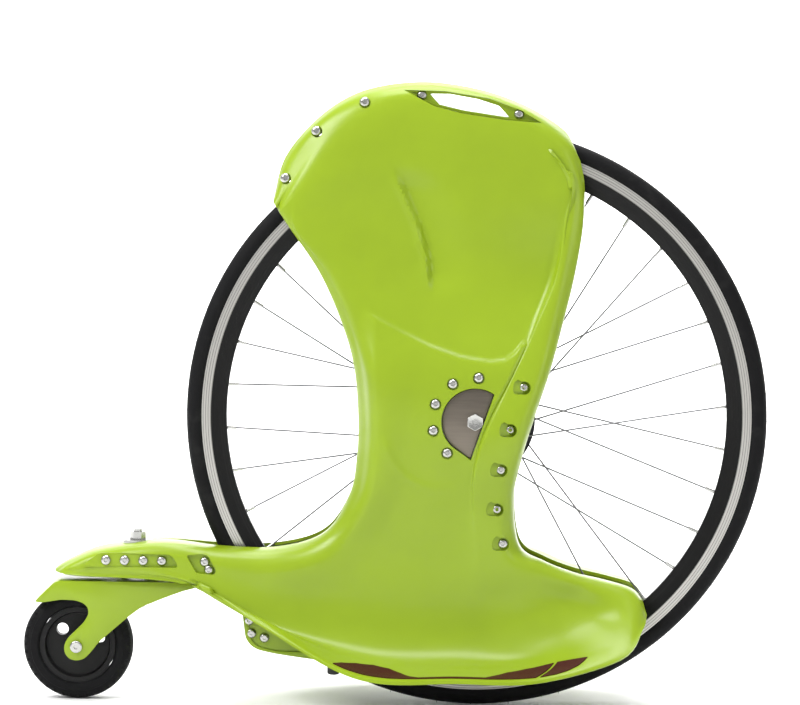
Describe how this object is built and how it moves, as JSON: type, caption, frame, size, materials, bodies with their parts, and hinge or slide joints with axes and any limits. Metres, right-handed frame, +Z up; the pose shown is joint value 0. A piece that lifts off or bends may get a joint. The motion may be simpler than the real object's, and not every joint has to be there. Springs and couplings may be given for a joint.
{
  "type": "one-wheel kick cruiser",
  "caption": "Kick-propelled one-wheel cruiser: large spoked wheel between moulded side shells with foot decks, and a small swivelling caster behind.",
  "frame": {"origin": "on the floor, under the middle of the overall length, in the wheel plane", "axes": "+X forward, +Z up, -Y is the rider's right side"},
  "size_m": [0.8554, 0.284, 0.717],
  "materials": {
    "green_plastic": "gloss",
    "tyre_rubber": "matt",
    "black_rubber": "matt",
    "black_rim": "gloss",
    "black_nylon": "satin",
    "brown_grip": "matt",
    "brushed_bronze": "brushed",
    "black_anodised": "satin",
    "aluminium": "satin",
    "bronze": "satin",
    "steel": "polished"
  },
  "bodies": {
    "frame": {"arm_bolts": "steel", "crest_screws": "steel", "handle_core": "green_plastic", "handle_screws": "steel", "kingpin_bush": "bronze", "left_axle_bolt": "steel", "left_axle_spacer": "steel", "left_grip_pads": "brown_grip", "left_hub_disc": "brushed_bronze", "left_hub_screws": "steel", "left_rib_screws": "steel", "left_shell": "green_plastic", "left_side_plate": "aluminium", "left_tail_arm": "aluminium", "main_axle": "steel", "nose_guard": "green_plastic", "nose_screws": "steel", "rest_feet": "black_rubber", "right_axle_bolt": "steel", "right_axle_spacer": "steel", "right_grip_pads": "brown_grip", "right_hub_disc": "brushed_bronze", "right_hub_screws": "steel", "right_rib_screws": "steel", "right_shell": "green_plastic", "right_side_plate": "aluminium", "right_tail_arm": "aluminium", "shell_standoffs": "aluminium", "swivel_pad": "black_rubber", "tail_block": "aluminium", "tail_screws": "steel", "tail_spacer": "aluminium", "upper_race": "steel"},
    "main_wheel": {"main_tyre": "tyre_rubber", "inner_tube": "black_rubber", "rim_tape": "black_rubber", "main_rim": "black_rim", "spoke_nipples": "steel", "right_spokes": "steel", "left_spokes": "steel", "hub_shell": "black_anodised", "right_hub_bearing": "steel", "left_hub_bearing": "steel", "bearing_sleeve": "steel", "valve_stem": "steel"},
    "swivel_fork": {"caster_fork": "green_plastic", "kingpin": "steel", "lower_race": "steel", "ball_cage": "steel", "kingpin_washer": "steel", "kingpin_nut": "steel", "caster_axle_bolt": "steel", "caster_axle_nut": "steel", "right_caster_spacer": "steel", "left_caster_spacer": "steel"},
    "caster_wheel": {"caster_tyre": "tyre_rubber", "caster_hub": "black_nylon", "right_caster_bearing": "steel", "left_caster_bearing": "steel"}
  },
  "joints": [
    {"name": "main_wheel_spin", "type": "hinge", "parent": "frame", "child": "main_wheel", "pos_m": [0.09365, 0, 0.334], "axis": [0, 1, 0], "continuous": true},
    {"name": "caster_swivel", "type": "hinge", "parent": "frame", "child": "swivel_fork", "pos_m": [-0.29595, 0, 0.14], "axis": [0, 0, 1], "range_deg": [-75, 75]},
    {"name": "caster_wheel_spin", "type": "hinge", "parent": "swivel_fork", "child": "caster_wheel", "pos_m": [-0.36415, 0, 0.0635], "axis": [0, 1, 0], "continuous": true}
  ]
}
